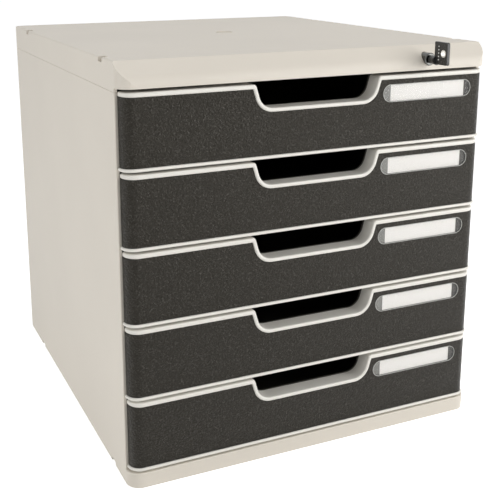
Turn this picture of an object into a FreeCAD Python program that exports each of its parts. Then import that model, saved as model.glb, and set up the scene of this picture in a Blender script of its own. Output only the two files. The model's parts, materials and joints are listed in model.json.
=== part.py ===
import FreeCAD, Part
import math
import os

# Desktop drawer unit: five A4 drawers in a moulded casing, with a cylinder lock in the cover.
# X runs to the right, the fronts face -Y and Z is up. The origin is on the surface that the unit
# stands on, in the middle of the space from the key's end to the rear. Lengths are in millimetres.

# Casing
casing_width = 292.0
casing_depth = 325.0
casing_wall = 2.2            # side panels, back panel and the cover's skirt
front_corner_radius = 10.5   # upright front corners of cover and base
rear_corner_radius = 8.0
foot_stand_off = 0.5         # how far the rubber feet reach below the casing
side_return_width = 16.0     # rear strip of each side panel, which the back panel is screwed to
side_edge_radius = 0.8       # outer front edge of each side panel

# Base
base_height = 11.3
base_wall = 2.4
base_top_radius = 0.9
base_rib_offset = 48.0       # the two long ribs, each side of the middle
base_rib_thickness = 1.6
foot_diameter = 13.0
foot_recess = 1.2
foot_socket_wall = 1.5
foot_inset = 22.0            # foot centre to the casing's side and to its front and rear
glide_nub_diameter = 3.0
glide_nub_side_setback = 17.5   # nub's centre to the casing's side
glide_nub_setback = 2.4
glide_nub_gap = 0.3          # left between a nub and the lowest drawer

# Cover
cover_band_height = 17.4     # the front band, from its lower edge to the top
cover_skirt_drop = 2.8       # the side skirts reach this much lower than the front band
cover_plate = 2.5
slant_height = 11.2
slant_depth = 12.5
slant_wall = 2.3
cover_edge_radius = 1.4
seam_edge_radius = 0.5       # outer edges where the skirts meet the side panels
band_crease_radius = 9.0     # soft bend between the upright and the slanted band
cover_rib_height = 7.0
cover_rib_thickness = 1.6
cover_rib_places = (-70.0, 10.0, 90.0)   # from the cover's middle
gate_mark_diameter = 15.0
gate_mark_depth = 0.3
gate_rim_width = 0.8
gate_rim_height = 0.3
gate_mark_place = (4.0, 10.0)   # from the cover's middle, to the right and to the rear
link_slot_length = 8.0
link_slot_width = 5.0
link_slot_height = 3.5
link_notch_length = 9.0
link_notch_height = 2.6
link_front_setback = 40.0
link_rear_setback = 59.0

# Side panel inside: tongue that the cover slips over, and the rails of each drawer
tongue_thickness = 2.0
tongue_clearance = 0.2
tongue_height = 16.5
tongue_setback = 34.5        # from the casing's front
shoulder_height = 4.0
rail_front_setback = 36.5    # from the casing's front
rail_rear_setback = 12.5     # from the casing's rear
ledge_drop = 7.2             # underside of the ledge below the drawer front's top edge
ledge_thickness = 2.5
keeper_thickness = 1.5
stop_block_length = 4.0
stop_block_height = 4.0

# Back panel
back_boss_diameter = 7.0
back_boss_height = 3.6
back_plate_clearance = 0.5   # beside the inner rear corner radius
back_tongue_height = 16.0

# Drawer fronts
drawer_count = 5
front_height = 52.4
front_gap = 1.8              # between neighbouring fronts
front_bottom_gap = 1.4       # between the base and the lowest front
front_top_gap = 2.2          # between the highest front and the cover
front_side_setback = 1.0     # of the fronts, inside the casing's sides
front_rear_gap = 0.6         # between the beads and the side panels' front edges
front_depth = 14.5           # from the bead's face to the tray's inside
top_bead = 3.2
top_bead_setback = 1.2       # the top bead ends this much further in than the bottom one
bottom_bead = 2.3
bead_radius = 1.05
frame_wall = 2.0
frame_lap = 0.4              # of the frame's side walls over the tray's front wall
panel_recess = 1.0           # black panel behind the beads
panel_thickness = 2.2
panel_clearance = 0.1

# Finger scoop, with its rim
scoop_top_width = 98.4
scoop_depth = 16.9
scoop_lean = 16.5            # of its two flanks, in degrees
scoop_radius = 11.0
scoop_rim = 2.8
scoop_lip_radius = 2.5

# Label window and card
label_scoop_gap = 3.9        # scoop's flank at the top to the label's left end
label_side_setback = 13.5    # label's right end to the front's right-hand side
label_below_top = 13.3       # label's centre below the front's top edge
label_height = 13.2
label_recess = 1.3
window_thickness = 0.9
window_clearance = 0.1
window_notch_radius = 1.0
card_left_gap = 7.2          # label's left end to the card
card_right_gap = 6.0
card_height = 12.1
card_thickness = 0.3

# Drawer trays
tray_side_space = 7.3        # between the tray and each side panel
tray_wall = 2.0
tray_floor_height = 2.0      # underside of the floor above the front's lower edge
tray_rim_drop = 2.4          # tray's rim below the front's top edge
tray_rear_clearance = 4.3    # between tray and back panel, with the screw bosses in it
tray_corner_radius = 6.0
flange_width = 3.7
flange_thickness = 2.0
rail_side_clearance = 0.6
rail_gap = 0.3
stop_tab_length = 4.0
stop_tab_height = 3.5
front_stop_setback = 58.2    # where the stop tabs end their travel, from the casing's front

# Lock
lock_side_setback = 54.2     # lock's axis to the casing's right-hand side
lock_below_top = 9.6
lock_barrel_diameter = 9.4
lock_barrel_stand_off = 1.2  # barrel's face before the upright band
lock_barrel_length = 18.4
lock_rim_chamfer = 0.6
lock_hole_clearance = 0.1
plug_diameter = 6.4
plug_clearance = 0.08
plug_recess = 0.3
keyway_width = 2.0
keyway_height = 5.2
keyway_depth = 15.0
clip_diameter = 12.6
clip_thickness = 1.2
clip_setback = 1.4           # clip's rear face before the barrel's end
clip_mouth = 6.0
cam_gap = 0.2
cam_diameter = 9.6
cam_thickness = 1.4
crank_pin_diameter = 2.4
crank_pin_clearance = 0.3
crank_pin_overhang = 0.3
cam_screw_diameter = 2.6
cam_screw_head = 0.9
cam_screw_shank_diameter = 1.6
cam_screw_depth = 1.8
lock_travel = 4.0            # of the locking bar, for a quarter turn of the plug

# Locking bar
bar_thickness = 1.6
bar_width = 9.0
bar_front_setback = 17.5     # from the casing's front
bar_side_gap = 0.2
bar_arm_height = 8.0
bar_arm_gap = 0.3            # behind the head of the cam screw
bar_arm_overhang = 4.0       # beyond the plug's axis
bar_tail = 5.0               # below the lowest catch
tooth_reach = 2.4
tooth_length = 3.6
tooth_height = 3.0
tooth_lift = 0.5             # over the catch, unlocked
catch_height_place = 10.0    # catch's underside above the front's lower edge
catch_height = 3.0
catch_length = 3.0
catch_reach = 4.9
catch_gap = 0.4              # between tooth and catch, locked
guide_height_place = 22.0
guide_height = 6.0
guide_rib = 1.9
guide_gap = 0.2
guide_lip = 1.0
guide_lip_cover = 1.3

# Key
key_blade_thickness = 1.6
key_blade_height = 4.8
key_blade_end_gap = 0.8
key_blade_root = 6.0
key_tip_bevel = 1.2
key_collar_gap = 0.8
key_collar_front_diameter = 5.6
key_collar_rear_diameter = 7.0
key_collar_length = 5.3
key_bow_depth = 14.6
key_bow_below = 2.7
key_bow_above = 13.7
key_bow_thickness = 2.6
key_bow_radius = 1.6
key_bow_edge_radius = 0.4
key_hole_diameter = 5.6
key_hole_from_end = 4.2
key_hole_height = 5.6

# Screws
screw_head_diameter = 5.6
screw_shank_diameter = 2.9
screw_length = 4.6
screw_slot_width = 0.8
screw_slot_depth = 0.5
screw_hole_clearance = 0.1
side_screw_low = 40.0
side_screw_below_seam = 31.8
side_screw_count = 3
cover_screw_offset = 90.0
cover_screw_below_top = 9.0

# Places that follow from the sizes above
half_width = casing_width / 2
key_reach = (lock_barrel_stand_off - plug_recess + key_collar_gap + key_collar_length
             + key_bow_depth)  # from the casing's front to the key's end
front_y = (key_reach - casing_depth) / 2
rear_y = front_y + casing_depth
middle_y = (front_y + rear_y) / 2
side_inner_x = half_width - casing_wall
side_front_y = front_y + front_corner_radius
casing_bottom = foot_stand_off
base_top = casing_bottom + base_height
back_outer_y = rear_y - casing_wall
back_inner_y = back_outer_y - casing_wall
front_pitch = front_height + front_gap
lowest_front = base_top + front_bottom_gap
drawer_floors = [lowest_front + front_pitch * step for step in reversed(range(drawer_count))]
guided_floors = drawer_floors[::2]   # the locking bar's guides stand beside every second drawer
band_bottom = drawer_floors[0] + front_height + front_top_gap
seam_height = band_bottom - cover_skirt_drop
casing_top = band_bottom + cover_band_height
slant_bottom = casing_top - slant_height
casing_height = casing_top - casing_bottom
cover_ceiling = casing_top - cover_plate
front_half_width = half_width - front_side_setback
front_radius = front_corner_radius - front_side_setback
bead_rear_y = side_front_y - front_rear_gap
label_left_x = scoop_top_width / 2 + label_scoop_gap
label_right_x = front_half_width - label_side_setback
tray_half_width = side_inner_x - tray_side_space
tray_rim_height = front_height - tray_rim_drop
ledge_height = front_height - ledge_drop
tray_front_y = front_y + front_depth
frame_rear_y = tray_front_y - tray_wall
frame_inner_x = front_half_width - panel_recess - panel_thickness - frame_wall
tray_rear_y = back_inner_y - tray_rear_clearance
flange_half_width = tray_half_width + flange_width
ledge_inner_x = tray_half_width + rail_side_clearance
rail_front_y = front_y + rail_front_setback
rail_rear_y = rear_y - rail_rear_setback
stop_tab_front_y = rail_rear_y - stop_tab_length
stop_block_rear_y = front_y + front_stop_setback
lock_centre_x = half_width - lock_side_setback
lock_z = casing_top - lock_below_top
barrel_front_y = front_y - lock_barrel_stand_off
barrel_rear_y = barrel_front_y + lock_barrel_length
cam_front_y = barrel_rear_y + cam_gap
cam_rear_y = cam_front_y + cam_thickness
crank_radius = lock_travel / math.sqrt(2)
arm_front_y = cam_rear_y + cam_screw_head + bar_arm_gap
arm_rear_y = arm_front_y + bar_thickness
pin_rear_y = arm_rear_y + crank_pin_overhang
bar_front_y = front_y + bar_front_setback
bar_rear_y = bar_front_y + bar_width
bar_outer_x = side_inner_x - bar_side_gap
bar_inner_x = bar_outer_x - bar_thickness
catch_front_y = bar_front_y + tooth_length + catch_gap
plug_front_y = barrel_front_y + plug_recess
key_collar_y = plug_front_y - key_collar_gap
key_bow_y = key_collar_y - key_collar_length
side_screw_step = (seam_height - side_screw_below_seam - side_screw_low) / (side_screw_count - 1)
side_screw_heights = [side_screw_low + side_screw_step * step for step in range(side_screw_count)]
side_screw_x = half_width - (rear_corner_radius + side_return_width) / 2
cover_screw_z = casing_top - cover_screw_below_top
screw_places = [(x, z) for x in (-side_screw_x, side_screw_x) for z in side_screw_heights]
screw_places += [(x, cover_screw_z) for x in (-cover_screw_offset, cover_screw_offset)]
foot_places = [(x, y) for x in (-half_width + foot_inset, half_width - foot_inset)
               for y in (front_y + foot_inset, rear_y - foot_inset)]
link_places = (front_y + link_front_setback, rear_y - link_rear_setback)

tiny = 0.001
past = 1.0   # how far a cutting tool runs past what it cuts
os.makedirs("parts", exist_ok=True)


def save(name, shape):
    """Writes one node's STEP file, after checking that its solids are sound."""
    shape = shape.removeSplitter()
    assert shape.isValid() and shape.Solids, name
    shape.exportStep(f"parts/{name}.step")


def fused(shapes):
    """One shape from several that touch or overlap."""
    return shapes[0].multiFuse(shapes[1:])


def box(x0, x1, y0, y1, z0, z1):
    """Box between two corners."""
    corner = FreeCAD.Vector(x0, y0, z0)
    return Part.makeBox(x1 - x0, y1 - y0, z1 - z0, corner)


def rod(radius, x, z, y0, y1):
    """Round bar along Y."""
    start = FreeCAD.Vector(x, y0, z)
    return Part.makeCylinder(radius, y1 - y0, start, FreeCAD.Vector(0, 1, 0))


def disc(radius, x, y, z0, z1):
    """Round bar along Z."""
    return Part.makeCylinder(radius, z1 - z0, FreeCAD.Vector(x, y, z0))


def mirrored(shape):
    """The same shape on the other side of the middle plane."""
    return shape.mirror(FreeCAD.Vector(0, 0, 0), FreeCAD.Vector(1, 0, 0))


def on_plan(x, y):
    """A point of an outline drawn on the floor."""
    return FreeCAD.Vector(x, y, 0)


def on_front(x, z):
    """A point of an outline drawn upright, facing the front."""
    return FreeCAD.Vector(x, 0, z)


def on_side(y, z):
    """A point of an outline drawn upright, facing the side."""
    return FreeCAD.Vector(0, y, z)


def rounded_face(corners, place):
    """Flat face whose corners (a, b, radius) are each rounded by their own radius."""
    points = [place(a, b) for a, b, radius in corners]
    bends = []
    for index, (a, b, radius) in enumerate(corners):
        corner = points[index]
        back = (points[index - 1] - corner).normalize()
        ahead = (points[(index + 1) % len(points)] - corner).normalize()
        half_angle = back.getAngle(ahead) / 2
        reach = radius / math.tan(half_angle)
        middle = (back + ahead).normalize() * (radius / math.sin(half_angle) - radius)
        bends.append((corner + back * reach, corner + middle, corner + ahead * reach))
    edges = []
    for index, (start, middle, end) in enumerate(bends):
        if start.distanceToPoint(end) > tiny:
            edges.append(Part.Arc(start, middle, end).toShape())
        following = bends[(index + 1) % len(bends)][0]
        if end.distanceToPoint(following) > tiny:
            edges.append(Part.makeLine(end, following))
    return Part.Face(Part.Wire(edges))


def upright(corners, z0, z1):
    """Prism that stands on a rounded plan outline."""
    face = rounded_face(corners, on_plan)
    face.translate(FreeCAD.Vector(0, 0, z0))
    return face.extrude(FreeCAD.Vector(0, 0, z1 - z0))


def frontal(corners, y0, y1):
    """Prism along Y over a rounded outline that faces the front."""
    face = rounded_face(corners, on_front)
    face.translate(FreeCAD.Vector(0, y0, 0))
    return face.extrude(FreeCAD.Vector(0, y1 - y0, 0))


def lateral(corners, x0, x1):
    """Prism along X over a rounded outline that faces the side."""
    face = rounded_face(corners, on_side)
    face.translate(FreeCAD.Vector(x0, 0, 0))
    return face.extrude(FreeCAD.Vector(x1 - x0, 0, 0))


# ---------------------------------------------------------------- casing

def casing_block(inset, z0, z1):
    """Block with the casing's plan outline, drawn in by inset."""
    x, y_front, y_rear = half_width - inset, front_y + inset, rear_y - inset
    front_radius = front_corner_radius - inset
    rear_radius = rear_corner_radius - inset
    corners = [(-x, y_front, front_radius), (x, y_front, front_radius),
               (x, y_rear, rear_radius), (-x, y_rear, rear_radius)]
    return upright(corners, z0, z1)


def cover_profile():
    """Prism across the casing with the cover's side view: upright band, soft bend, slant and top."""
    corners = [(front_y, seam_height, 0), (front_y, slant_bottom, band_crease_radius),
               (front_y + slant_depth, casing_top, cover_edge_radius), (rear_y, casing_top, 0),
               (rear_y, seam_height, 0)]
    return lateral(corners, -casing_width, casing_width)


def slant_cut(thickness):
    """What the slanted band takes off the cover's front, thickness below its face."""
    run = FreeCAD.Vector(0, slant_depth, slant_height).normalize()
    down = FreeCAD.Vector(0, run.z, -run.y) * thickness
    crease = FreeCAD.Vector(0, front_y, slant_bottom) + down
    reach = 2 * casing_height
    low = crease - run * reach
    high = crease + run * reach
    corners = [(low.y, low.z, 0), (high.y, high.z, 0), (low.y, high.z, 0)]
    return lateral(corners, -casing_width, casing_width)


def top_cover():
    """Lid: flat top, front band, skirts, ribs, link slots and gate mark."""
    outer = casing_block(0, seam_height, casing_top)
    outer = outer.makeFillet(cover_edge_radius, top_edges(outer)).common(cover_profile())
    inner = casing_block(casing_wall, seam_height - past, cover_ceiling).cut(slant_cut(slant_wall))
    cover = outer.cut(inner)
    cover = cover.cut(box(-half_width - past, half_width + past, front_y - past, side_front_y,
                          seam_height - past, band_bottom))
    cover = cover.makeFillet(seam_edge_radius, seam_edges(cover))
    rib_x = side_inner_x - tongue_thickness - 2 * tongue_clearance
    ribs = [box(-rib_x, rib_x, middle_y + place, middle_y + place + cover_rib_thickness,
                cover_ceiling - cover_rib_height, cover_ceiling) for place in cover_rib_places]
    mark_x, mark_place = gate_mark_place
    rim = disc(gate_mark_diameter / 2, mark_x, middle_y + mark_place,
               casing_top - tiny, casing_top + gate_rim_height)
    cover = fused([cover, rim] + ribs)
    tools = [lock_hole(), gate_mark()]
    for y in link_places:
        slot = box(half_width - link_slot_width, half_width + past, y - link_slot_length / 2,
                   y + link_slot_length / 2, casing_top - link_slot_height, casing_top + past)
        tools += [slot, mirrored(slot)]
    tools += [screw_hole(x, cover_screw_z) for x in (-cover_screw_offset, cover_screw_offset)]
    return cover.cut(tools)


def top_edges(shape):
    """Every edge round the cover's flat top."""
    return [edge for edge in shape.Edges if edge.BoundBox.ZMin > casing_top - tiny]


def seam_edges(shape):
    """The straight outer edges along Y at the seam of cover and side panels."""
    return [edge for edge in shape.Edges
            if edge.BoundBox.XLength < tiny and edge.BoundBox.ZLength < tiny
            and abs(edge.BoundBox.ZMin - seam_height) < tiny
            and abs(abs(edge.BoundBox.XMin) - half_width) < tiny]


def lock_hole():
    """Hole for the barrel through the front band."""
    radius = lock_barrel_diameter / 2 + lock_hole_clearance
    return rod(radius, lock_centre_x, lock_z, front_y - past, barrel_rear_y)


def gate_mark():
    """Shallow round dimple that the moulding gate leaves on the top, inside its raised rim."""
    x, place = gate_mark_place
    return disc(gate_mark_diameter / 2 - gate_rim_width, x, middle_y + place,
                casing_top - gate_mark_depth, casing_top + past)


def rails(front_bottom):
    """Ledge and keeper rib of one drawer, with its front and rear stops, on the right-hand side."""
    ledge_low = front_bottom + ledge_height
    ledge_top = ledge_low + ledge_thickness
    keeper_low = front_bottom + tray_rim_height + rail_gap
    ledge = box(ledge_inner_x, side_inner_x, rail_front_y, rail_rear_y, ledge_low, ledge_top)
    keeper = box(ledge_inner_x, side_inner_x, rail_front_y, rail_rear_y,
                 keeper_low, keeper_low + keeper_thickness)
    front_stop = box(ledge_inner_x, side_inner_x, stop_block_rear_y - stop_block_length,
                     stop_block_rear_y, ledge_low - stop_block_height, ledge_low)
    rear_stop = box(ledge_inner_x, side_inner_x, rail_rear_y - stop_block_length,
                    rail_rear_y, ledge_top, keeper_low)
    return [ledge, keeper, front_stop, rear_stop]


def bar_guide(front_bottom):
    """Pair of hooked ribs that hold the locking bar against the side panel."""
    z0 = front_bottom + guide_height_place
    z1 = z0 + guide_height
    lip_outer_x = bar_inner_x - guide_gap
    lip_inner_x = lip_outer_x - guide_lip
    front_rib_y = bar_front_y - guide_gap - guide_rib
    rear_rib_y = bar_rear_y + guide_gap
    return [
        box(lip_inner_x, side_inner_x, front_rib_y, front_rib_y + guide_rib, z0, z1),
        box(lip_inner_x, lip_outer_x, front_rib_y, bar_front_y + guide_lip_cover, z0, z1),
        box(lip_inner_x, side_inner_x, rear_rib_y, rear_rib_y + guide_rib, z0, z1),
        box(lip_inner_x, lip_outer_x, bar_rear_y - guide_lip_cover, rear_rib_y + guide_rib, z0, z1),
    ]


def side_panel(with_guides):
    """Right-hand side panel; the left one is its mirror image, without the bar's guides."""
    inner_radius = rear_corner_radius - casing_wall
    return_x = half_width - rear_corner_radius - side_return_width

    def plate(edge_radius, z0, z1):
        corners = [(half_width, side_front_y, edge_radius), (half_width, rear_y, rear_corner_radius),
                   (return_x, rear_y, 0), (return_x, back_outer_y, 0),
                   (side_inner_x, back_outer_y, inner_radius), (side_inner_x, side_front_y, 0)]
        return upright(corners, z0, z1)

    tongue_outer_x = side_inner_x - tongue_clearance
    tongue_inner_x = tongue_outer_x - tongue_thickness
    tongue_front_y = front_y + tongue_setback
    tongue_rear_y = rear_y - rear_corner_radius
    upper = plate(side_edge_radius, base_top, seam_height)
    panel = [
        plate(0, casing_bottom, base_top),
        upper.makeFillet(seam_edge_radius, seam_edges(upper)),
        box(tongue_inner_x, side_inner_x, tongue_front_y, tongue_rear_y,
            seam_height - shoulder_height, seam_height),
        box(tongue_inner_x, tongue_outer_x, tongue_front_y, tongue_rear_y,
            seam_height - shoulder_height, seam_height + tongue_height),
    ]
    for front_bottom in drawer_floors:
        panel += rails(front_bottom)
    if with_guides:
        for front_bottom in guided_floors:
            panel += bar_guide(front_bottom)
    tools = [screw_hole(side_screw_x, z) for z in side_screw_heights]
    for y in link_places:
        tools.append(box(side_inner_x - past, half_width + past, y - link_notch_length / 2,
                         y + link_notch_length / 2, casing_bottom - past,
                         casing_bottom + link_notch_height))
    return fused(panel).cut(tools)


def back_panel():
    """Flat rear wall between the side returns, with a boss behind each screw."""
    half = half_width - rear_corner_radius - back_plate_clearance
    plate = box(-half, half, back_inner_y, back_outer_y,
                casing_bottom, seam_height + back_tongue_height)
    bosses = [rod(back_boss_diameter / 2, x, z, back_inner_y - back_boss_height, back_inner_y + tiny)
              for x, z in screw_places]
    shank = screw_shank_diameter / 2 + screw_hole_clearance
    holes = [rod(shank, x, z, back_inner_y - back_boss_height - past, rear_y)
             for x, z in screw_places]
    return fused([plate] + bosses).cut(holes)


def base_tray():
    """Floor of the casing: front band round both corners, hollow below, ribs and foot sockets."""
    corners = [(-half_width, side_front_y, 0), (-half_width, front_y, front_corner_radius),
               (half_width, front_y, front_corner_radius), (half_width, side_front_y, 0),
               (side_inner_x, side_front_y, 0), (side_inner_x, back_inner_y, rear_corner_radius),
               (-side_inner_x, back_inner_y, rear_corner_radius), (-side_inner_x, side_front_y, 0)]
    body = upright(corners, casing_bottom, base_top)
    edges = [edge for edge in body.Edges
             if edge.BoundBox.ZMin > base_top - tiny and edge.BoundBox.YMax < side_front_y + tiny
             and edge.BoundBox.YMin < side_front_y - past]
    body = body.makeFillet(base_top_radius, edges)
    inner_x = side_inner_x - base_wall
    inner_front_y, inner_rear_y = front_y + base_wall, back_inner_y - base_wall
    inner_radius = front_corner_radius - base_wall
    ceiling = base_top - base_wall
    hollow = upright([(-inner_x, inner_front_y, inner_radius), (inner_x, inner_front_y, inner_radius),
                      (inner_x, inner_rear_y, 0), (-inner_x, inner_rear_y, 0)],
                     casing_bottom - past, ceiling)
    body = body.cut(hollow)
    rib_half = base_rib_thickness / 2
    ribs = [box(x - rib_half, x + rib_half, inner_front_y - tiny, inner_rear_y + tiny,
                casing_bottom + foot_recess, ceiling + tiny)
            for x in (-base_rib_offset, base_rib_offset)]
    socket_radius = foot_diameter / 2 + foot_socket_wall
    sockets = [disc(socket_radius, x, y, casing_bottom, ceiling + tiny) for x, y in foot_places]
    nub_y = front_y + glide_nub_setback + glide_nub_diameter / 2
    nub_height = front_bottom_gap - glide_nub_gap
    nub_x = half_width - glide_nub_side_setback
    nubs = [disc(glide_nub_diameter / 2, x, nub_y, base_top - tiny, base_top + nub_height)
            for x in (-nub_x, nub_x)]
    recesses = [disc(foot_diameter / 2 + tiny, x, y, casing_bottom - past, casing_bottom + foot_recess)
                for x, y in foot_places]
    return fused([body] + ribs + sockets + nubs).cut(recesses)


def rubber_feet():
    """Four round pads in the base's recesses."""
    feet = []
    for x, y in foot_places:
        pad = disc(foot_diameter / 2, x, y, 0, casing_bottom + foot_recess)
        rim = [edge for edge in pad.Edges if edge.BoundBox.ZMax < tiny]
        feet.append(pad.makeFillet(foot_stand_off / 2, rim))
    return Part.makeCompound(feet)


def countersink(x, z, clearance):
    """Conical seat of a screw head, flush with the rear face."""
    outer = screw_head_diameter / 2 + clearance
    inner = screw_shank_diameter / 2 + clearance
    depth = (screw_head_diameter - screw_shank_diameter) / 2
    start = FreeCAD.Vector(x, rear_y - depth, z)
    return Part.makeCone(inner, outer, depth, start, FreeCAD.Vector(0, 1, 0))


def screw_hole(x, z):
    """Countersunk hole through a rear wall."""
    shank = screw_shank_diameter / 2 + screw_hole_clearance
    head = screw_head_diameter / 2 + screw_hole_clearance
    return fused([countersink(x, z, screw_hole_clearance),
                  rod(shank, x, z, back_outer_y - past, rear_y),
                  rod(head, x, z, rear_y - tiny, rear_y + past)])


def back_screws():
    """Countersunk screws up each side of the back panel, and two in the cover's skirt."""
    screws = []
    for x, z in screw_places:
        shank = rod(screw_shank_diameter / 2, x, z, rear_y - screw_length, rear_y - tiny)
        body = countersink(x, z, 0).fuse(shank)
        slot = box(x - screw_head_diameter, x + screw_head_diameter, rear_y - screw_slot_depth,
                   rear_y + past, z - screw_slot_width / 2, z + screw_slot_width / 2)
        screws.append(body.cut(slot).removeSplitter())
    return Part.makeCompound(screws)


# ---------------------------------------------------------------- drawers

def front_block(inset, y_end, z0, z1, setback=0):
    """Block with the drawer front's plan outline, drawn in by inset and narrower by setback."""
    x, y = front_half_width - setback - inset, front_y + inset
    radius = front_radius - inset
    corners = [(-x, y, radius), (x, y, radius), (x, y_end, 0), (-x, y_end, 0)]
    return upright(corners, z0, z1)


def scoop_corners(front_bottom, grow):
    """Outline of the finger scoop, made larger by grow, open past the front's top edge."""
    lean = math.radians(scoop_lean)
    top = front_bottom + front_height
    bottom = top - scoop_depth - grow
    head = past + grow
    flank = grow / math.cos(lean)
    top_half = scoop_top_width / 2 + flank + head * math.tan(lean)
    bottom_half = scoop_top_width / 2 + flank - (top - bottom) * math.tan(lean)
    radius = scoop_radius + grow
    return [(-top_half, top + head, 0), (-bottom_half, bottom, radius),
            (bottom_half, bottom, radius), (top_half, top + head, 0)]


def front_frame(front_bottom):
    """Light-grey frame of a drawer front: shell behind the panel, beads and finger scoop."""
    top = front_bottom + front_height
    behind_panel = panel_recess + panel_thickness
    shell = front_block(behind_panel, frame_rear_y, front_bottom, top)
    head = front_block(0, bead_rear_y, top - top_bead, top, top_bead_setback)
    foot = front_block(0, bead_rear_y, front_bottom, front_bottom + bottom_bead)
    rim = frontal(scoop_corners(front_bottom, scoop_rim), front_y, frame_rear_y)
    above = box(-casing_width, casing_width, front_y - past, rear_y, top, top + scoop_rim + 2 * past)
    hollow = front_block(behind_panel + frame_wall, frame_rear_y + past,
                         front_bottom - past, top - top_bead)
    frame = fused([shell.fuse(foot).cut(hollow), head, rim.cut(above)])
    frame = frame.cut(scoop_cut(front_bottom)).removeSplitter()
    frame = frame.makeFillet(scoop_lip_radius, scoop_lips(frame, top))
    return frame.makeFillet(bead_radius, bead_edges(frame))


def scoop_cut(front_bottom):
    """What the finger scoop takes out of a drawer's front and of the tray's front wall."""
    return frontal(scoop_corners(front_bottom, 0), front_y - past, tray_front_y + past)


def scoop_lips(shape, top):
    """The two edges along Y where the scoop's flanks reach the front's top."""
    return [edge for edge in shape.Edges
            if edge.BoundBox.XLength < tiny and edge.BoundBox.ZLength < tiny
            and abs(edge.BoundBox.ZMin - top) < tiny
            and abs(abs(edge.BoundBox.XMin) - scoop_top_width / 2) < tiny]


def bead_edges(shape):
    """Every edge of the beads and of the scoop's rim on the front's outer face."""
    edges = []
    for edge in shape.Edges:
        plumb = edge.BoundBox.XLength < tiny and edge.BoundBox.YLength < tiny
        if not plumb and (on_outer_face(edge, 0) or on_outer_face(edge, top_bead_setback)):
            edges.append(edge)
    return edges


def on_outer_face(edge, setback):
    """True if the whole edge lies on the outer face's plan outline, narrower by setback."""
    arc_x = front_half_width - setback - front_radius
    arc_y = front_y + front_radius
    start, end = edge.FirstParameter, edge.LastParameter
    for point in (edge.valueAt(start), edge.valueAt((start + end) / 2), edge.valueAt(end)):
        beyond = max(abs(point.x) - arc_x, 0)
        off_arc = abs(math.hypot(beyond, point.y - arc_y) - front_radius)
        if point.y > arc_y + tiny or off_arc > tiny:
            return False
    return True


def drawer_tray(front_bottom):
    """One moulded drawer: open tray, rail flanges and stop tabs."""
    floor_low = front_bottom + tray_floor_height
    rim_top = front_bottom + tray_rim_height
    tab_top = front_bottom + ledge_height - rail_gap

    def tray_block(inset, y_start, z0, z1):
        x, y = tray_half_width - inset, tray_rear_y - inset
        radius = tray_corner_radius - inset
        return upright([(-x, y_start, 0), (x, y_start, 0), (x, y, radius), (-x, y, radius)], z0, z1)

    tray = tray_block(0, frame_rear_y, floor_low, rim_top)
    tray = tray.cut(tray_block(tray_wall, tray_front_y, floor_low + tray_wall, rim_top + past))
    wall_x = frame_inner_x + frame_lap
    front_wall = box(-wall_x, wall_x, frame_rear_y, tray_front_y,
                     floor_low, front_bottom + front_height)
    flange = box(tray_half_width - tiny, flange_half_width, frame_rear_y,
                 rail_rear_y - stop_block_length - rail_gap, rim_top - flange_thickness, rim_top)
    tab = box(tray_half_width - tiny, flange_half_width, stop_tab_front_y, rail_rear_y,
              tab_top - stop_tab_height, tab_top)
    tray = fused([tray, front_wall]).cut(scoop_cut(front_bottom))
    return fused([tray, flange, mirrored(flange), tab, mirrored(tab)])


def lock_catch(front_bottom):
    """Catch on the tray's right-hand side, which a lowered tooth of the locking bar stands before."""
    low = front_bottom + catch_height_place
    end_x = tray_half_width + catch_reach
    end_y = catch_front_y + catch_length
    corners = [(tray_half_width, catch_front_y, 0), (end_x, catch_front_y, 0),
               (end_x, end_y, 0), (tray_half_width, end_y + catch_reach, 0)]
    return upright(corners, low, low + catch_height)


def label_outline(front_bottom, inset, y0, y1):
    """Round-ended prism along Y in the label's place, drawn in by inset."""
    centre_z = front_bottom + front_height - label_below_top
    half_height = label_height / 2 - inset
    return stadium(label_left_x + inset, label_right_x - inset, centre_z, half_height, y0, y1)


def stadium(x0, x1, centre_z, half_height, y0, y1):
    """Prism along Y with a round-ended outline."""
    low, high, radius = centre_z - half_height, centre_z + half_height, half_height - tiny
    corners = [(x0, low, radius), (x1, low, radius), (x1, high, radius), (x0, high, radius)]
    return frontal(corners, y0, y1)


def front_panel(front_bottom):
    """Black grained panel between the beads, with the scoop's cut-out and the label's recess."""
    top = front_bottom + front_height
    z0, z1 = front_bottom + bottom_bead + panel_clearance, top - top_bead - panel_clearance
    panel = front_block(panel_recess, bead_rear_y, z0, z1)
    inset = panel_recess + panel_thickness - panel_clearance
    behind = front_block(inset, bead_rear_y + past, z0 - past, z1 + past)
    rim = scoop_corners(front_bottom, scoop_rim + panel_clearance)
    around_scoop = frontal(rim, front_y - past, bead_rear_y + past)
    recess = label_outline(front_bottom, 0, front_y, front_y + panel_recess + label_recess)
    return panel.cut([behind, around_scoop, recess])


def label_window(front_bottom):
    """Clear round-ended cover over the label card, with a thumb notch at its left end."""
    face_y = front_y + panel_recess + label_recess - card_thickness - window_thickness
    centre_z = front_bottom + front_height - label_below_top
    window_rear_y = face_y + window_thickness
    window = label_outline(front_bottom, window_clearance, face_y, window_rear_y)
    return window.cut(rod(window_notch_radius, label_left_x, centre_z, face_y - past, window_rear_y + past))


def label_card(front_bottom):
    """Blank card behind the window."""
    rear = front_y + panel_recess + label_recess
    z = front_bottom + front_height - label_below_top
    return box(label_left_x + card_left_gap, label_right_x - card_right_gap, rear - card_thickness, rear,
               z - card_height / 2, z + card_height / 2)


# ---------------------------------------------------------------- lock and key

def on_lock(diameter, y0, y1):
    """Round bar on the lock's own axis."""
    return rod(diameter / 2, lock_centre_x, lock_z, y0, y1)


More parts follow.
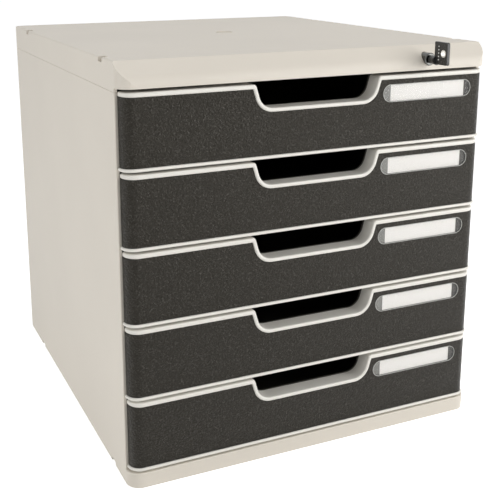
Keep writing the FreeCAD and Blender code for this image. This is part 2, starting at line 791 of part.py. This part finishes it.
def lock_barrel():
    """Fixed tube of the lock, with a bevelled rim."""
    tube = on_lock(lock_barrel_diameter, barrel_front_y, barrel_rear_y)
    rim = [edge for edge in tube.Edges if edge.BoundBox.YMax < barrel_front_y + tiny]
    tube = tube.makeChamfer(lock_rim_chamfer, rim)
    bore_diameter = plug_diameter + 2 * plug_clearance
    return tube.cut(on_lock(bore_diameter, barrel_front_y - past, barrel_rear_y + past))


def lock_clip():
    """Horseshoe clip that holds the barrel from behind."""
    rear = barrel_rear_y - clip_setback
    front = rear - clip_thickness
    ring = on_lock(clip_diameter, front, rear)
    bore = on_lock(lock_barrel_diameter + 2 * tiny, front - past, rear + past)
    mouth = box(lock_centre_x - clip_mouth / 2, lock_centre_x + clip_mouth / 2,
                front - past, rear + past, lock_z - clip_diameter, lock_z)
    return ring.cut([bore, mouth])


def lock_plug():
    """Turning core with its keyway and a hole for the cam screw."""
    core = on_lock(plug_diameter, plug_front_y, cam_front_y)
    keyway = box(lock_centre_x - keyway_width / 2, lock_centre_x + keyway_width / 2,
                 plug_front_y - past, plug_front_y + keyway_depth,
                 lock_z - keyway_height / 2, lock_z + keyway_height / 2)
    screw_bore = on_lock(cam_screw_shank_diameter, cam_front_y - cam_screw_depth, cam_front_y + past)
    return core.cut([keyway, screw_bore])


def lock_cam():
    """Disc on the plug's rear end, with the crank pin that works the locking bar."""
    offset = lock_travel / 2
    cam = on_lock(cam_diameter, cam_front_y, cam_rear_y)
    pin = rod(crank_pin_diameter / 2, lock_centre_x + offset, lock_z + offset,
              cam_rear_y - tiny, pin_rear_y)
    return cam.fuse(pin).cut(on_lock(cam_screw_shank_diameter, cam_front_y - past, cam_rear_y + past))


def cam_screw():
    """Small screw that holds the cam on the plug."""
    shank = on_lock(cam_screw_shank_diameter, cam_front_y - cam_screw_depth, cam_rear_y)
    head = on_lock(cam_screw_diameter, cam_rear_y, cam_rear_y + cam_screw_head)
    return shank.fuse(head)


def locking_bar():
    """Bent steel strip beside the drawers, with an arm that the crank pin moves."""
    arm_z = lock_z + lock_travel / 2
    lowest = drawer_floors[-1] + catch_height_place - bar_tail
    highest = arm_z + bar_arm_height / 2
    strip = box(bar_inner_x, bar_outer_x, bar_front_y, bar_rear_y, lowest, highest)
    arm = box(lock_centre_x - bar_arm_overhang, bar_outer_x, arm_front_y, arm_rear_y,
              highest - bar_arm_height, highest)
    reach = crank_pin_diameter / 2 + crank_pin_clearance
    slot = stadium(lock_centre_x + lock_travel / 2 - reach, lock_centre_x + crank_radius + reach,
                   arm_z, reach, arm_front_y - past, arm_rear_y + past)
    return strip.fuse(arm).cut(slot)


def locking_teeth():
    """Blocks riveted to the strip, one in front of each drawer's catch."""
    teeth = []
    for front_bottom in drawer_floors:
        low = front_bottom + catch_height_place + catch_height + tooth_lift
        teeth.append(box(bar_inner_x - tooth_reach, bar_inner_x, bar_front_y,
                         bar_front_y + tooth_length, low, low + tooth_height))
    return Part.makeCompound(teeth)


def key_blade():
    """Flat steel blade of the key, from inside the bow to near the keyway's end."""
    tip_y = plug_front_y + keyway_depth - key_blade_end_gap
    z = key_blade_height / 2
    root_y = key_bow_y - key_blade_root
    corners = [(root_y, lock_z - z, 0), (tip_y - key_tip_bevel, lock_z - z, 0),
               (tip_y, lock_z - z + key_tip_bevel, 0), (tip_y, lock_z + z - key_tip_bevel, 0),
               (tip_y - key_tip_bevel, lock_z + z, 0), (root_y, lock_z + z, 0)]
    half = key_blade_thickness / 2
    return lateral(corners, lock_centre_x - half, lock_centre_x + half)


def key_bow():
    """Plastic grip of the key: upright plate with a hole, and a tapered collar towards the lock."""
    half = key_bow_thickness / 2
    end_y = key_bow_y - key_bow_depth
    radius = key_bow_radius
    corners = [(end_y, lock_z - key_bow_below, radius), (key_bow_y, lock_z - key_bow_below, radius / 2),
               (key_bow_y, lock_z + key_bow_above, radius / 2), (end_y, lock_z + key_bow_above, radius)]
    plate = lateral(corners, lock_centre_x - half, lock_centre_x + half)
    hole_start = FreeCAD.Vector(lock_centre_x - half - past, end_y + key_hole_from_end,
                                lock_z + key_hole_height)
    plate = plate.cut(Part.makeCylinder(key_hole_diameter / 2, key_bow_thickness + 2 * past,
                                        hole_start, FreeCAD.Vector(1, 0, 0)))
    rims = [edge for edge in plate.Edges if edge.BoundBox.XLength < tiny]
    plate = plate.makeFillet(key_bow_edge_radius, rims)
    collar_start = FreeCAD.Vector(lock_centre_x, key_bow_y - radius, lock_z)
    collar = Part.makeCone(key_collar_rear_diameter / 2, key_collar_front_diameter / 2,
                           key_collar_length + radius, collar_start, FreeCAD.Vector(0, 1, 0))
    return plate.fuse(collar).cut(key_blade())


save("top_cover", top_cover())
save("side_panel_right", side_panel(True))
save("side_panel_left", mirrored(side_panel(False)))
save("back_panel", back_panel())
save("base_tray", base_tray())
save("rubber_feet", rubber_feet())
save("back_screws", back_screws())
save("lock_barrel", lock_barrel())
save("lock_clip", lock_clip())
save("lock_plug", lock_plug())
save("lock_cam", lock_cam())
save("cam_screw", cam_screw())
save("locking_bar", locking_bar())
save("locking_teeth", locking_teeth())
save("key_blade", key_blade())
save("key_bow", key_bow())
for number, drawer_bottom in enumerate(drawer_floors, start=1):
    save(f"drawer_tray_{number}", drawer_tray(drawer_bottom))
    save(f"front_frame_{number}", front_frame(drawer_bottom))
    save(f"lock_catch_{number}", lock_catch(drawer_bottom))
    save(f"front_panel_{number}", front_panel(drawer_bottom))
    save(f"label_window_{number}", label_window(drawer_bottom))
    save(f"label_card_{number}", label_card(drawer_bottom))
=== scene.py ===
import json
import math

import bmesh
import bpy
from mathutils import Euler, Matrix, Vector


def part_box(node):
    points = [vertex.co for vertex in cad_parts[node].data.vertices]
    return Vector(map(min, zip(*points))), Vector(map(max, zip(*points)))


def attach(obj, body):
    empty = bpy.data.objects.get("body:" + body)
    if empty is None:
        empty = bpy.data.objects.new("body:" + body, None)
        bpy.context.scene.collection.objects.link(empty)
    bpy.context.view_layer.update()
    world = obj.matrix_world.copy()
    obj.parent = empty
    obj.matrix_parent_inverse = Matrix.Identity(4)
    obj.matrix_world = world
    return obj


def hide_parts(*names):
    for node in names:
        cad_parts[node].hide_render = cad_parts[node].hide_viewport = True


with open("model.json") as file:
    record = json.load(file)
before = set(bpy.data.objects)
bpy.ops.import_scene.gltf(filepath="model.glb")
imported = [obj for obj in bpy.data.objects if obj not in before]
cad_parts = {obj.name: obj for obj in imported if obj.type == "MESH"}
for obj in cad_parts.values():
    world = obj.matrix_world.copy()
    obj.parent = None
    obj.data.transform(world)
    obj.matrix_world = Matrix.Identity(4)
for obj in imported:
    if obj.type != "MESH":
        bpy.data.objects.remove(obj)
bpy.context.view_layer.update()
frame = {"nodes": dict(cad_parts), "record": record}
bpy.ops.object.select_all(action="DESELECT")

MM = 0.001

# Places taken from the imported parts
bow_low, bow_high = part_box("key_bow")
blade_low, blade_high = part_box("key_blade")
DRAWERS = range(1, 6)

# Papers behind the label windows
PAPER_THICKNESS = 0.12 * MM
PAPER_CORNER = 0.5 * MM

# Rims of the label windows, pale as a painted highlight, and half-moons at their left ends, grey as
# a painted reflection
RIM_RADIUS = 0.25 * MM
TAB_MARGIN = 0.7 * MM
TAB_THICKNESS = 0.15 * MM
TAB_GAP = 0.3 * MM

# Eyelet in the hole of the key's bow
HOLE_FROM_END = 4.2 * MM
HOLE_BELOW_TOP = 8.1 * MM
EYELET_RADIUS = 2.78 * MM
EYELET_WALL = 0.25 * MM
EYELET_PROUD = 0.2 * MM

# Pips on the key's bow
PIP_COUNT = 5
PIP_RADIUS = 0.55 * MM
PIP_HEIGHT = 0.12 * MM
PIP_PLACE = 9.6 * MM       # behind the bow's front end
BOW_HALF_THICKNESS = 1.3 * MM
PIP_BELOW_TOP = 3.2 * MM
PIP_PITCH = 2.4 * MM

# Camera: it stands to the front left of the unit, a little above it
CAMERA_SPOT = Vector((-314.2, -692.7, 369.9)) * MM
CAMERA_TURN = 23.83        # degrees to the right of +Y
CAMERA_DIP = 13.40        # degrees below level
CAMERA_ROLL = -0.24
CAMERA_LENS = 64.76
CAMERA_SHIFT = (0.057, -0.169)

# Colours of the finishes, linear
CASING_GREY = (0.71, 0.658, 0.578)
FRAME_GREY = (0.80, 0.775, 0.715)
FRONT_BLACK = (0.0090, 0.0072, 0.0050)
# Colour of the light specks in the black fronts: painted glints of the grain
PAINTED_GLINT_GREY = (0.052, 0.049, 0.045)
TRAY_BLACK = (0.055, 0.050, 0.043)
CARD_WHITE = (0.86, 0.835, 0.80)
PIP_WHITE = (0.80, 0.80, 0.77)
# Pale colour of the window rims: a painted highlight along the window's edge
RIM_PAINTED_HIGHLIGHT = (0.66, 0.66, 0.62)
# Grey of the half-moons at the windows' left ends: a painted reflection
TAB_PAINTED_REFLECTION_GREY = (0.15, 0.147, 0.13)
ZINC = (0.62, 0.60, 0.56)
DARK_CHROME = (0.12, 0.12, 0.115)

# Light: strength of the surroundings, and the power of each lamp in watts
AMBIENT = 0.24
LEFT_POWER = 6.0
FRONT_POWER = 18.0
TOP_POWER = 4.6

# Lamps, in metres: where each stands, how wide it is, and what all of them aim at
LEFT_SPOT = (-1.3, -0.25, 0.5)
FRONT_SPOT = (0.96, -1.15, 0.6)
TOP_SPOT = (0.0, 0.1, 1.5)
LEFT_SIZE = 0.9
FRONT_SIZE = 1.3
TOP_SIZE = 1.0
LAMP_AIM = (0.0, 0.0, 0.15)

# Floor: its width in metres, and the glow that makes it look white
FLOOR_WIDTH = 60
FLOOR_PALE = (0.93, 0.93, 0.92)
FLOOR_GLOW = 0.75
WHITE = (1, 1, 1, 1)


# ---------------------------------------------------------------- finishes

def finish(slot):
    """An empty material for one slot: its nodes, its links and its shader."""
    material = bpy.data.materials.new(slot)
    material.use_nodes = True
    nodes, links = material.node_tree.nodes, material.node_tree.links
    shader = nodes["Principled BSDF"]
    return material, nodes, links, shader


def texture_spots(nodes):
    """Object coordinates, so that a grain has its real size on every piece."""
    return nodes.new("ShaderNodeTexCoord").outputs["Object"]


def noise(nodes, links, spots, scale, detail=2.0, roughness=0.5):
    """A noise whose lumps are about 1 / scale metres across."""
    texture = nodes.new("ShaderNodeTexNoise")
    texture.inputs["Scale"].default_value = scale
    texture.inputs["Detail"].default_value = detail
    texture.inputs["Roughness"].default_value = roughness
    links.new(spots, texture.inputs["Vector"])
    return texture.outputs["Fac"]


def spread(nodes, links, value, low, high, low_out, high_out):
    """Maps a value from one range to another."""
    ranger = nodes.new("ShaderNodeMapRange")
    ranger.inputs["From Min"].default_value = low
    ranger.inputs["From Max"].default_value = high
    ranger.inputs["To Min"].default_value = low_out
    ranger.inputs["To Max"].default_value = high_out
    links.new(value, ranger.inputs["Value"])
    return ranger.outputs["Result"]


def shades(nodes, links, value, dark, light):
    """A colour between dark and light, by value."""
    mix = nodes.new("ShaderNodeMix")
    mix.data_type = "RGBA"
    mix.inputs["A"].default_value = (*dark, 1)
    mix.inputs["B"].default_value = (*light, 1)
    links.new(value, mix.inputs["Factor"])
    return mix.outputs["Result"]


def bumps(nodes, links, shader, heights):
    """Stacks bump maps, each (height value, depth in metres, strength), on the shader."""
    normal = None
    for value, depth, strength in heights:
        bump = nodes.new("ShaderNodeBump")
        bump.inputs["Distance"].default_value = depth
        bump.inputs["Strength"].default_value = strength
        links.new(value, bump.inputs["Height"])
        if normal:
            links.new(normal, bump.inputs["Normal"])
        normal = bump.outputs["Normal"]
    links.new(normal, shader.inputs["Normal"])


def scaled(colour, factor):
    """A colour made darker or lighter."""
    return tuple(channel * factor for channel in colour)


def casing_plastic():
    """Warm light-grey moulded plastic with a fine satin grain."""
    material, nodes, links, shader = finish("casing_plastic")
    spots = texture_spots(nodes)
    clouds = noise(nodes, links, spots, 9.0, 3.0)
    grain = noise(nodes, links, spots, 2600.0, 2.0)
    waves = noise(nodes, links, spots, 14.0, 1.0)
    tone = spread(nodes, links, clouds, 0.3, 0.7, 0.0, 1.0)
    colour = shades(nodes, links, tone, scaled(CASING_GREY, 0.975), scaled(CASING_GREY, 1.02))
    links.new(colour, shader.inputs["Base Color"])
    links.new(spread(nodes, links, grain, 0.3, 0.7, 0.42, 0.56), shader.inputs["Roughness"])
    shader.inputs["Specular IOR Level"].default_value = 0.45
    bumps(nodes, links, shader, [(waves, 0.0004, 0.15), (grain, 0.00005, 0.25)])
    return material


def frame_plastic():
    """Lighter, smoother plastic of the drawers' front frames, whose round edges catch the light."""
    material, nodes, links, shader = finish("frame_plastic")
    spots = texture_spots(nodes)
    clouds = noise(nodes, links, spots, 12.0, 2.0)
    grain = noise(nodes, links, spots, 2600.0, 2.0)
    colour = shades(nodes, links, clouds, scaled(FRAME_GREY, 0.98), scaled(FRAME_GREY, 1.02))
    links.new(colour, shader.inputs["Base Color"])
    links.new(spread(nodes, links, grain, 0.3, 0.7, 0.30, 0.42), shader.inputs["Roughness"])
    bumps(nodes, links, shader, [(grain, 0.00004, 0.2)])
    return material


def front_plastic():
    """Black plastic with a coarse moulded grain; the light specks in its colour are painted glints,
    and its bumps catch real glints.
    """
    material, nodes, links, shader = finish("front_plastic")
    spots = texture_spots(nodes)
    coarse = noise(nodes, links, spots, 650.0, 2.0, 0.6)
    fine = noise(nodes, links, spots, 2300.0, 1.0)
    painted_glints = noise(nodes, links, spots, 900.0, 3.0, 0.7)
    patches = noise(nodes, links, spots, 26.0, 2.0)
    # Light specks of colour from the noise: painted glints, not a tone of the plastic
    tone = spread(nodes, links, painted_glints, 0.56, 0.66, 0.0, 1.0)
    colour = shades(nodes, links, tone, scaled(FRONT_BLACK, 0.5), PAINTED_GLINT_GREY)
    links.new(colour, shader.inputs["Base Color"])
    links.new(spread(nodes, links, patches, 0.3, 0.7, 0.21, 0.27), shader.inputs["Roughness"])
    shader.inputs["Specular IOR Level"].default_value = 0.25
    shader.inputs["Specular Tint"].default_value = (1.0, 0.93, 0.80, 1)
    bumps(nodes, links, shader, [(coarse, 0.0014, 0.9), (fine, 0.0001, 0.4)])
    return material


def tray_plastic():
    """Plain satin black plastic of the drawers' trays."""
    material, nodes, links, shader = finish("tray_plastic")
    spots = texture_spots(nodes)
    grain = noise(nodes, links, spots, 1800.0, 2.0)
    clouds = noise(nodes, links, spots, 12.0, 2.0)
    colour = shades(nodes, links, clouds, scaled(TRAY_BLACK, 0.8), scaled(TRAY_BLACK, 1.2))
    links.new(colour, shader.inputs["Base Color"])
    links.new(spread(nodes, links, grain, 0.3, 0.7, 0.45, 0.6), shader.inputs["Roughness"])
    bumps(nodes, links, shader, [(grain, 0.00005, 0.3)])
    return material


def label_card():
    """Blank white card."""
    material, nodes, links, shader = finish("label_card")
    spots = texture_spots(nodes)
    fibres = noise(nodes, links, spots, 1200.0, 4.0, 0.7)
    colour = shades(nodes, links, fibres, scaled(CARD_WHITE, 0.97), scaled(CARD_WHITE, 1.02))
    links.new(colour, shader.inputs["Base Color"])
    shader.inputs["Roughness"].default_value = 0.8
    bumps(nodes, links, shader, [(fibres, 0.00003, 0.3)])
    return material


def window_plastic():
    """Clear polished plastic, so thin that it hardly veils the card behind it."""
    material, nodes, links, shader = finish("window_plastic")
    haze = noise(nodes, links, texture_spots(nodes), 600.0, 2.0)
    links.new(shades(nodes, links, haze, (0.86, 0.86, 0.84), (0.92, 0.92, 0.90)),
              shader.inputs["Base Color"])
    links.new(spread(nodes, links, haze, 0.3, 0.7, 0.05, 0.12), shader.inputs["Roughness"])
    shader.inputs["Alpha"].default_value = 0.06
    return material


def foot_rubber():
    """Matte black rubber."""
    material, nodes, links, shader = finish("foot_rubber")
    grain = noise(nodes, links, texture_spots(nodes), 1500.0, 3.0)
    links.new(shades(nodes, links, grain, (0.02, 0.02, 0.02), (0.04, 0.04, 0.038)),
              shader.inputs["Base Color"])
    shader.inputs["Roughness"].default_value = 0.85
    bumps(nodes, links, shader, [(grain, 0.0001, 0.4)])
    return material


def metal(slot, colour, low_roughness, high_roughness, grain_scale):
    """Bare or plated metal with fine uneven polish."""
    material, nodes, links, shader = finish(slot)
    grain = noise(nodes, links, texture_spots(nodes), grain_scale, 3.0)
    links.new(shades(nodes, links, grain, scaled(colour, 0.85), colour),
              shader.inputs["Base Color"])
    links.new(spread(nodes, links, grain, 0.3, 0.7, low_roughness, high_roughness),
              shader.inputs["Roughness"])
    shader.inputs["Metallic"].default_value = 1.0
    bumps(nodes, links, shader, [(grain, 0.00003, 0.3)])
    return material


def key_plastic():
    """Polished black plastic of the key's bow."""
    material, nodes, links, shader = finish("key_plastic")
    scuffs = noise(nodes, links, texture_spots(nodes), 900.0, 3.0)
    links.new(shades(nodes, links, scuffs, (0.012, 0.012, 0.012), (0.025, 0.025, 0.024)),
              shader.inputs["Base Color"])
    links.new(spread(nodes, links, scuffs, 0.3, 0.7, 0.22, 0.38), shader.inputs["Roughness"])
    bumps(nodes, links, shader, [(scuffs, 0.00003, 0.2)])
    return material


def pip_paint():
    """White marks on the key's bow."""
    material, nodes, links, shader = finish("pip_paint")
    wear = noise(nodes, links, texture_spots(nodes), 2500.0, 2.0)
    links.new(shades(nodes, links, wear, scaled(PIP_WHITE, 0.85), PIP_WHITE),
              shader.inputs["Base Color"])
    shader.inputs["Roughness"].default_value = 0.5
    return material


def painted_highlight_rim():
    """Polished edge, coloured pale so that it shows a painted highlight line; its gloss adds real
    highlights on top.
    """
    material, nodes, links, shader = finish("painted_highlight_rim")
    haze = noise(nodes, links, texture_spots(nodes), 500.0, 2.0)
    # Pale base colour: a painted highlight line, with real gloss from the shader
    links.new(shades(nodes, links, haze, scaled(RIM_PAINTED_HIGHLIGHT, 0.9), RIM_PAINTED_HIGHLIGHT),
              shader.inputs["Base Color"])
    links.new(spread(nodes, links, haze, 0.3, 0.7, 0.08, 0.16), shader.inputs["Roughness"])
    shader.inputs["Alpha"].default_value = 0.75
    return material


def painted_reflection_tab():
    """Pale grey over the window's left end: a painted reflection."""
    material, nodes, links, shader = finish("painted_reflection_tab")
    clouds = noise(nodes, links, texture_spots(nodes), 220.0, 3.0)
    # Pale grey colour: a painted reflection at the window's left end
    links.new(shades(nodes, links, clouds, scaled(TAB_PAINTED_REFLECTION_GREY, 0.8), scaled(TAB_PAINTED_REFLECTION_GREY, 1.1)),
              shader.inputs["Base Color"])
    shader.inputs["Roughness"].default_value = 0.4
    return material


FINISHES = {
    "casing_plastic": casing_plastic(),
    "front_plastic": front_plastic(),
    "tray_plastic": tray_plastic(),
    "label_card": label_card(),
    "window_plastic": window_plastic(),
    "foot_rubber": foot_rubber(),
    "plated_steel": metal("plated_steel", ZINC, 0.28, 0.42, 1500.0),
    "lock_chrome": metal("lock_chrome", DARK_CHROME, 0.10, 0.22, 700.0),
    "key_plastic": key_plastic(),
}


def dress_parts():
    """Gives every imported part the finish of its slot, and the front frames their lighter one."""
    frame_finish = frame_plastic()
    for subpart in frame["record"]["subparts"]:
        part = frame["nodes"][subpart["node"]]
        part.data.materials.clear()
        if subpart["node"].startswith("front_frame"):
            part.data.materials.append(frame_finish)
        else:
            part.data.materials.append(FINISHES[subpart["material_slot"]])


# ---------------------------------------------------------------- stage

def clear_rays(nodes, links):
    """1 for what looks straight at the backdrop, or sees it in gloss or through glass, else 0."""
    paths = nodes.new("ShaderNodeLightPath")
    seen = paths.outputs["Is Camera Ray"]
    for kind in ("Is Glossy Ray", "Is Transmission Ray"):
        either = nodes.new("ShaderNodeMath")
        either.operation = "MAXIMUM"
        links.new(seen, either.inputs[0])
        links.new(paths.outputs[kind], either.inputs[1])
        seen = either.outputs["Value"]
    return seen


def floor():
    """Pale floor that keeps a faint shadow and looks white."""
    bpy.ops.mesh.primitive_plane_add(size=FLOOR_WIDTH, location=(0, 0, 0))
    plane = bpy.context.object
    plane.name = "floor"
    material, nodes, links, shader = finish("floor_paper")
    shader.inputs["Base Color"].default_value = (*FLOOR_PALE, 1)
    shader.inputs["Roughness"].default_value = 0.9
    lift = nodes.new("ShaderNodeMath")
    lift.operation = "MULTIPLY"
    lift.inputs[1].default_value = FLOOR_GLOW
    links.new(clear_rays(nodes, links), lift.inputs[0])
    shader.inputs["Emission Color"].default_value = WHITE
    links.new(lift.outputs["Value"], shader.inputs["Emission Strength"])
    plane.data.materials.append(material)


def studio_world():
    """White backdrop for what looks straight at it, and a soft ambient light for the rest."""
    world = bpy.data.worlds.new("studio")
    bpy.context.scene.world = world
    world.use_nodes = True
    nodes, links = world.node_tree.nodes, world.node_tree.links
    ambient = nodes["Background"]
    ambient.inputs["Color"].default_value = WHITE
    ambient.inputs["Strength"].default_value = AMBIENT
    backdrop = nodes.new("ShaderNodeBackground")
    backdrop.inputs["Color"].default_value = WHITE
    backdrop.inputs["Strength"].default_value = 1.0
    mix = nodes.new("ShaderNodeMixShader")
    links.new(clear_rays(nodes, links), mix.inputs["Fac"])
    links.new(ambient.outputs["Background"], mix.inputs[1])
    links.new(backdrop.outputs["Background"], mix.inputs[2])
    links.new(mix.outputs["Shader"], nodes["World Output"].inputs["Surface"])


def softbox(name, spot, size, power):
    """Square area lamp at spot, aimed at the unit."""
    lamp = bpy.data.lights.new(name, "AREA")
    lamp.size = size
    lamp.energy = power
    holder = bpy.data.objects.new(name, lamp)
    bpy.context.collection.objects.link(holder)
    holder.location = spot
    holder.rotation_euler = (Vector(LAMP_AIM) - Vector(spot)).to_track_quat("-Z", "Y").to_euler()


def studio_lamps():
    """Three large soft lamps: left, front right and above."""
    softbox("lamp_left", LEFT_SPOT, LEFT_SIZE, LEFT_POWER)
    softbox("lamp_front", FRONT_SPOT, FRONT_SIZE, FRONT_POWER)
    softbox("lamp_top", TOP_SPOT, TOP_SIZE, TOP_POWER)


def camera():
    """Camera with its long lens, dipped and turned to the unit."""
    lens = bpy.data.cameras.new("camera")
    lens.lens = CAMERA_LENS
    lens.shift_x, lens.shift_y = CAMERA_SHIFT
    holder = bpy.data.objects.new("camera", lens)
    bpy.context.collection.objects.link(holder)
    aim = Euler((math.radians(90 - CAMERA_DIP), 0, math.radians(-CAMERA_TURN))).to_matrix()
    roll = Euler((0, 0, math.radians(CAMERA_ROLL))).to_matrix()
    holder.rotation_euler = (aim @ roll).to_euler()
    holder.location = CAMERA_SPOT
    bpy.context.scene.camera = holder


# ---------------------------------------------------------------- key

def key_pips():
    """Column of small raised white pips on the left face of the key's bow."""
    face_x = (blade_low.x + blade_high.x) / 2 - BOW_HALF_THICKNESS
    pip_y = bow_low.y + PIP_PLACE
    bpy.ops.mesh.primitive_cylinder_add(vertices=20, radius=PIP_RADIUS, depth=2 * PIP_HEIGHT,
                                        location=(face_x, pip_y, bow_high.z - PIP_BELOW_TOP),
                                        rotation=(0, math.radians(90), 0))
    first = bpy.context.object
    first.name = "key_pip_1"
    bpy.ops.object.transform_apply(location=True, rotation=True, scale=True)
    bpy.ops.object.mode_set(mode="EDIT")
    bpy.ops.mesh.select_all(action="SELECT")
    bpy.ops.mesh.bevel(offset=PIP_HEIGHT / 2, segments=2)
    bpy.ops.object.mode_set(mode="OBJECT")
    bpy.ops.object.shade_smooth_by_angle(angle=math.radians(50))
    first.data.materials.append(pip_paint())
    pips = [first]
    for index in range(1, PIP_COUNT):
        bpy.ops.object.duplicate(linked=False)
        copy = bpy.context.object
        copy.name = f"key_pip_{index + 1}"
        bpy.ops.transform.translate(value=(0, 0, -PIP_PITCH))
        bpy.ops.object.transform_apply(location=True, rotation=False, scale=False)
        pips.append(copy)
    for pip in pips:
        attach(pip, "key")
    bpy.ops.object.select_all(action="DESELECT")


def key_eyelet():
    """Plated eyelet that lines the hole of the key's bow."""
    middle_x = (blade_low.x + blade_high.x) / 2
    place = (middle_x, bow_low.y + HOLE_FROM_END, bow_high.z - HOLE_BELOW_TOP)
    bpy.ops.mesh.primitive_cylinder_add(vertices=40, radius=EYELET_RADIUS,
                                        depth=2 * BOW_HALF_THICKNESS + EYELET_PROUD,
                                        end_fill_type="NOTHING", location=place,
                                        rotation=(0, math.radians(90), 0))
    eyelet = bpy.context.object
    eyelet.name = "key_eyelet"
    bpy.ops.object.transform_apply(location=True, rotation=True, scale=True)
    bpy.ops.object.modifier_add(type="SOLIDIFY")
    eyelet.modifiers[0].thickness = EYELET_WALL
    eyelet.modifiers[0].offset = -1
    bpy.ops.object.modifier_apply(modifier=eyelet.modifiers[0].name)
    bpy.ops.object.shade_smooth_by_angle(angle=math.radians(40))
    eyelet.data.materials.append(FINISHES["plated_steel"])
    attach(eyelet, "key")
    bpy.ops.object.select_all(action="DESELECT")


# ---------------------------------------------------------------- label papers

def label_papers():
    """Blank papers with cut corners in the places of the cards, a little free of the windows."""
    paper = None
    for number in DRAWERS:
        low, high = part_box(f"label_card_{number}")
        if not paper:
            size = Vector((high.x - low.x, PAPER_THICKNESS, high.z - low.z))
            middle = Vector(((low.x + high.x) / 2, high.y - PAPER_THICKNESS, (low.z + high.z) / 2))
            bpy.ops.mesh.primitive_cube_add(size=1, location=middle, scale=size)
            bpy.ops.object.transform_apply(location=True, rotation=True, scale=True)
            paper = bpy.context.object
            bpy.ops.object.mode_set(mode="EDIT")
            mesh = bmesh.from_edit_mesh(paper.data)
            for edge in mesh.edges:
                edge.select = abs(edge.verts[0].co.y - edge.verts[1].co.y) > PAPER_THICKNESS / 2
            mesh.select_flush(True)
            bmesh.update_edit_mesh(paper.data)
            bpy.ops.mesh.bevel(offset=PAPER_CORNER, segments=2)
            bpy.ops.object.mode_set(mode="OBJECT")
            paper.data.materials.append(FINISHES["label_card"])
        else:
            bpy.ops.object.duplicate(linked=False)
            paper = bpy.context.object
            bpy.ops.transform.translate(value=(0, 0, low.z - level))
            bpy.ops.object.transform_apply(location=True, rotation=False, scale=False)
        level = low.z
        paper.name = f"label_paper_{number}"
        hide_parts(f"label_card_{number}")
        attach(paper, f"drawer_{number}")
    bpy.ops.object.select_all(action="DESELECT")


# ---------------------------------------------------------------- label windows

def window_rim(number):
    """Polished round edge of one label window, pale as a painted highlight: a thin torus drawn out
    to the window's length.
    """
    low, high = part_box(f"label_window_{number}")
    radius = (high.z - low.z) / 2 - RIM_RADIUS
    left = Vector((low.x + radius + RIM_RADIUS, low.y, (low.z + high.z) / 2))
    bpy.ops.mesh.primitive_torus_add(major_radius=radius, minor_radius=RIM_RADIUS,
                                     major_segments=54, minor_segments=10,
                                     location=left, rotation=(math.radians(90), 0, 0))
    rim = bpy.context.object
    rim.name = f"window_rim_{number}"
    bpy.ops.object.transform_apply(location=True, rotation=True, scale=True)
    bpy.ops.object.mode_set(mode="EDIT")
    mesh = bmesh.from_edit_mesh(rim.data)
    for vertex in mesh.verts:
        vertex.select = vertex.co.x > left.x
    mesh.select_flush(True)
    bmesh.update_edit_mesh(rim.data)
    run = high.x - low.x - 2 * (radius + RIM_RADIUS)
    bpy.ops.transform.translate(value=(run, 0, 0))
    bpy.ops.object.mode_set(mode="OBJECT")
    bpy.ops.object.shade_smooth()
    return rim


def window_painted_reflection(number):
    """Half-moon behind the window's left end, beside the card, pale grey as a painted reflection.
    """
    low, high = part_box(f"label_window_{number}")
    card_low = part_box(f"label_card_{number}")[0]
    radius = (high.z - low.z) / 2 - TAB_MARGIN
    middle = (low.x + radius + TAB_MARGIN, high.y + TAB_THICKNESS, (low.z + high.z) / 2)
    bpy.ops.mesh.primitive_cylinder_add(vertices=64, radius=radius, depth=TAB_THICKNESS,
                                        location=middle, rotation=(math.radians(90), 0, 0))
    reflection_patch = bpy.context.object
    reflection_patch.name = f"window_painted_reflection_{number}"
    bpy.ops.object.transform_apply(location=True, rotation=True, scale=True)
    bpy.ops.object.mode_set(mode="EDIT")
    bpy.ops.mesh.select_all(action="SELECT")
    bpy.ops.mesh.bisect(plane_co=(card_low.x - TAB_GAP, 0, 0), plane_no=(1, 0, 0),
                        use_fill=True, clear_outer=True)
    bpy.ops.object.mode_set(mode="OBJECT")
    return reflection_patch


def label_windows():
    """Rim and half-moon of each label window: a painted highlight and a painted reflection."""
    rim_highlight_finish, reflection_tab_finish = painted_highlight_rim(), painted_reflection_tab()
    for number in DRAWERS:
        rim, reflection_patch = window_rim(number), window_painted_reflection(number)
        rim.data.materials.append(rim_highlight_finish)
        reflection_patch.data.materials.append(reflection_tab_finish)
        for piece in (rim, reflection_patch):
            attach(piece, f"drawer_{number}")
    bpy.ops.object.select_all(action="DESELECT")


dress_parts()
label_papers()
label_windows()
key_pips()
key_eyelet()
floor()
studio_world()
studio_lamps()
camera()
bpy.context.scene.view_settings.view_transform = "Standard"
